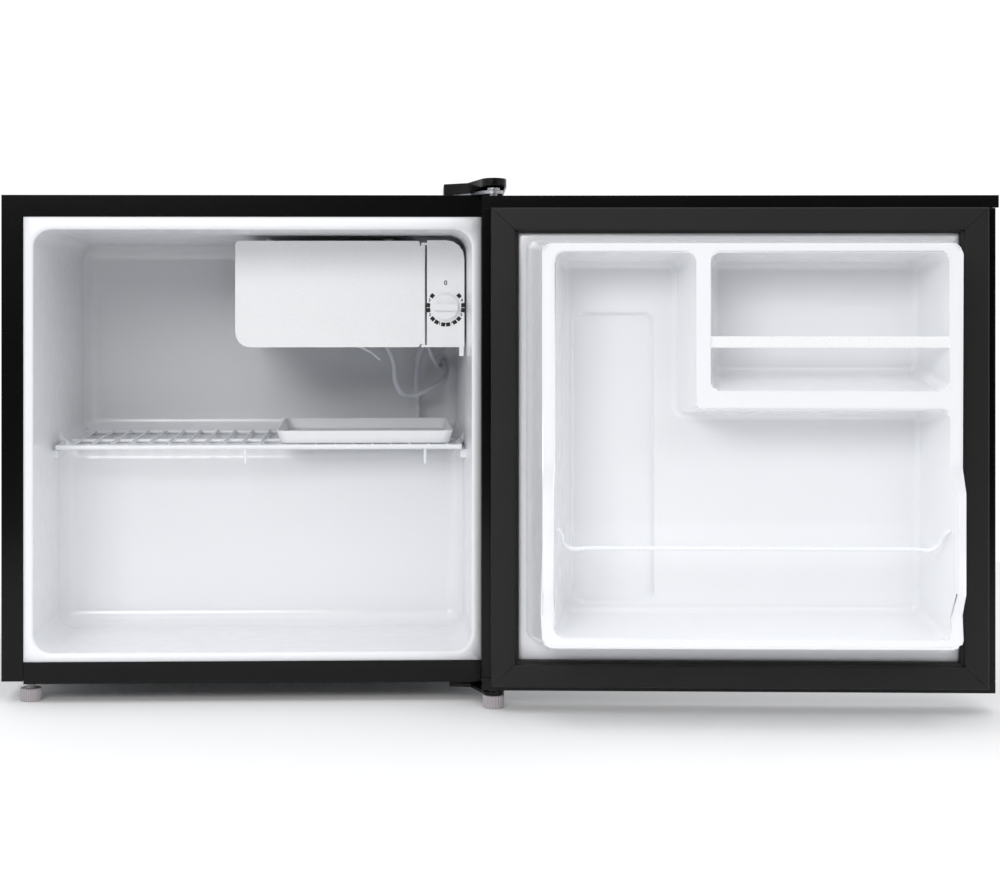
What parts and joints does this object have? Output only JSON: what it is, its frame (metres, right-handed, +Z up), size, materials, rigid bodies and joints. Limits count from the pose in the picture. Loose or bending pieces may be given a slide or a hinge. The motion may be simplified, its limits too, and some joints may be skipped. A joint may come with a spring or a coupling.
{
  "type": "mini fridge",
  "caption": "Compact cube refrigerator with its door swung open: white moulded interior, corner freezer box, wire shelf, drip tray and door racks.",
  "frame": {"origin": "centre of the bounding box on the floor plane, with the door open as pictured", "axes": "+X from the cabinet towards the open door, +Y towards the back of the cabinet, +Z up"},
  "size_m": [0.926, 0.5498, 0.493],
  "materials": {
    "black_paint": "satin",
    "black_plastic": "gloss",
    "gasket_vinyl": "matte",
    "white_liner": "gloss",
    "white_plastic": "satin",
    "white_wire": "gloss",
    "zinc_steel": "zinc plated",
    "aluminium": "rolled",
    "copper": "drawn copper",
    "foam": "foamed",
    "rubber": "matte",
    "foot_plastic": "moulded"
  },
  "bodies": {
    "cabinet": {"outer_shell": "black_paint", "bottom_front_rail": "black_paint", "base_pan": "zinc_steel", "back_panel": "black_paint", "inner_liner": "white_liner", "foam_insulation": "foam", "foot_rear_left": "rubber", "foot_rear_right": "rubber", "top_hinge_plate": "zinc_steel", "top_hinge_pin": "zinc_steel", "top_hinge_cover": "black_plastic", "top_hinge_screw_1": "zinc_steel", "top_hinge_screw_2": "zinc_steel", "bottom_hinge_bracket": "black_paint", "bottom_hinge_pin": "zinc_steel", "bottom_hinge_screw_1": "zinc_steel", "bottom_hinge_screw_2": "zinc_steel", "evaporator": "aluminium", "evaporator_hanger_1": "white_plastic", "evaporator_hanger_2": "white_plastic", "thermostat_housing": "white_plastic", "thermostat_body": "zinc_steel", "thermostat_probe": "white_plastic", "capillary_tube": "white_plastic", "sensor_lead": "white_plastic", "suction_tube": "white_plastic", "tube_grommet": "rubber", "compressor_plate": "zinc_steel", "compressor": "black_paint", "compressor_grommet_1": "rubber", "compressor_grommet_2": "rubber", "compressor_grommet_3": "rubber", "compressor_grommet_4": "rubber", "terminal_cover": "black_plastic", "cord_gland": "rubber", "condenser_coil": "black_paint", "condenser_bracket_left": "black_paint", "condenser_bracket_right": "black_paint", "filter_drier": "copper", "discharge_pipe": "copper", "suction_pipe": "copper"},
    "door": {"door_panel": "black_paint", "door_top_cap": "black_plastic", "door_bottom_cap": "black_plastic", "door_top_bush": "white_plastic", "door_bottom_bush": "white_plastic", "door_foam": "foam", "door_liner": "white_liner", "door_gasket": "gasket_vinyl", "door_guard_rail": "white_plastic", "door_retainer_wire": "white_wire"},
    "flap": {"freezer_flap": "white_plastic"},
    "dial": {"thermostat_dial": "white_plastic"},
    "shelf": {"wire_shelf": "white_wire"},
    "tray": {"drip_tray": "white_plastic"},
    "left_foot": {"foot_front_left": "foot_plastic"},
    "right_foot": {"foot_front_right": "foot_plastic"}
  },
  "joints": [
    {"name": "door_hinge", "type": "hinge", "parent": "cabinet", "child": "door", "pos_m": [-0.00156, -0.13117, 0], "axis": [0, 0, 1], "range_deg": [-176.8, 0]},
    {"name": "flap_hinge", "type": "hinge", "parent": "cabinet", "child": "flap", "pos_m": [-0.06426, -0.00797, 0.3305], "axis": [0, 0, 1], "range_deg": [0, 95]},
    {"name": "dial_turn", "type": "hinge", "parent": "cabinet", "child": "dial", "pos_m": [-0.04256, -0.00917, 0.37025], "axis": [0, -1, 0], "range_deg": [0, 300]},
    {"name": "shelf_slide", "type": "slide", "parent": "cabinet", "child": "shelf", "axis": [0, -1, 0], "range_m": [0, 0.14]},
    {"name": "tray_slide", "type": "slide", "parent": "shelf", "child": "tray", "axis": [0, -1, 0], "range_m": [0, 0.12]},
    {"name": "left_foot_turn", "type": "hinge", "parent": "cabinet", "child": "left_foot", "pos_m": [-0.43796, -0.08817, 0], "axis": [0, 0, 1], "continuous": true},
    {"name": "right_foot_turn", "type": "hinge", "parent": "cabinet", "child": "right_foot", "pos_m": [-0.00156, -0.13117, 0], "axis": [0, 0, 1], "continuous": true}
  ]
}
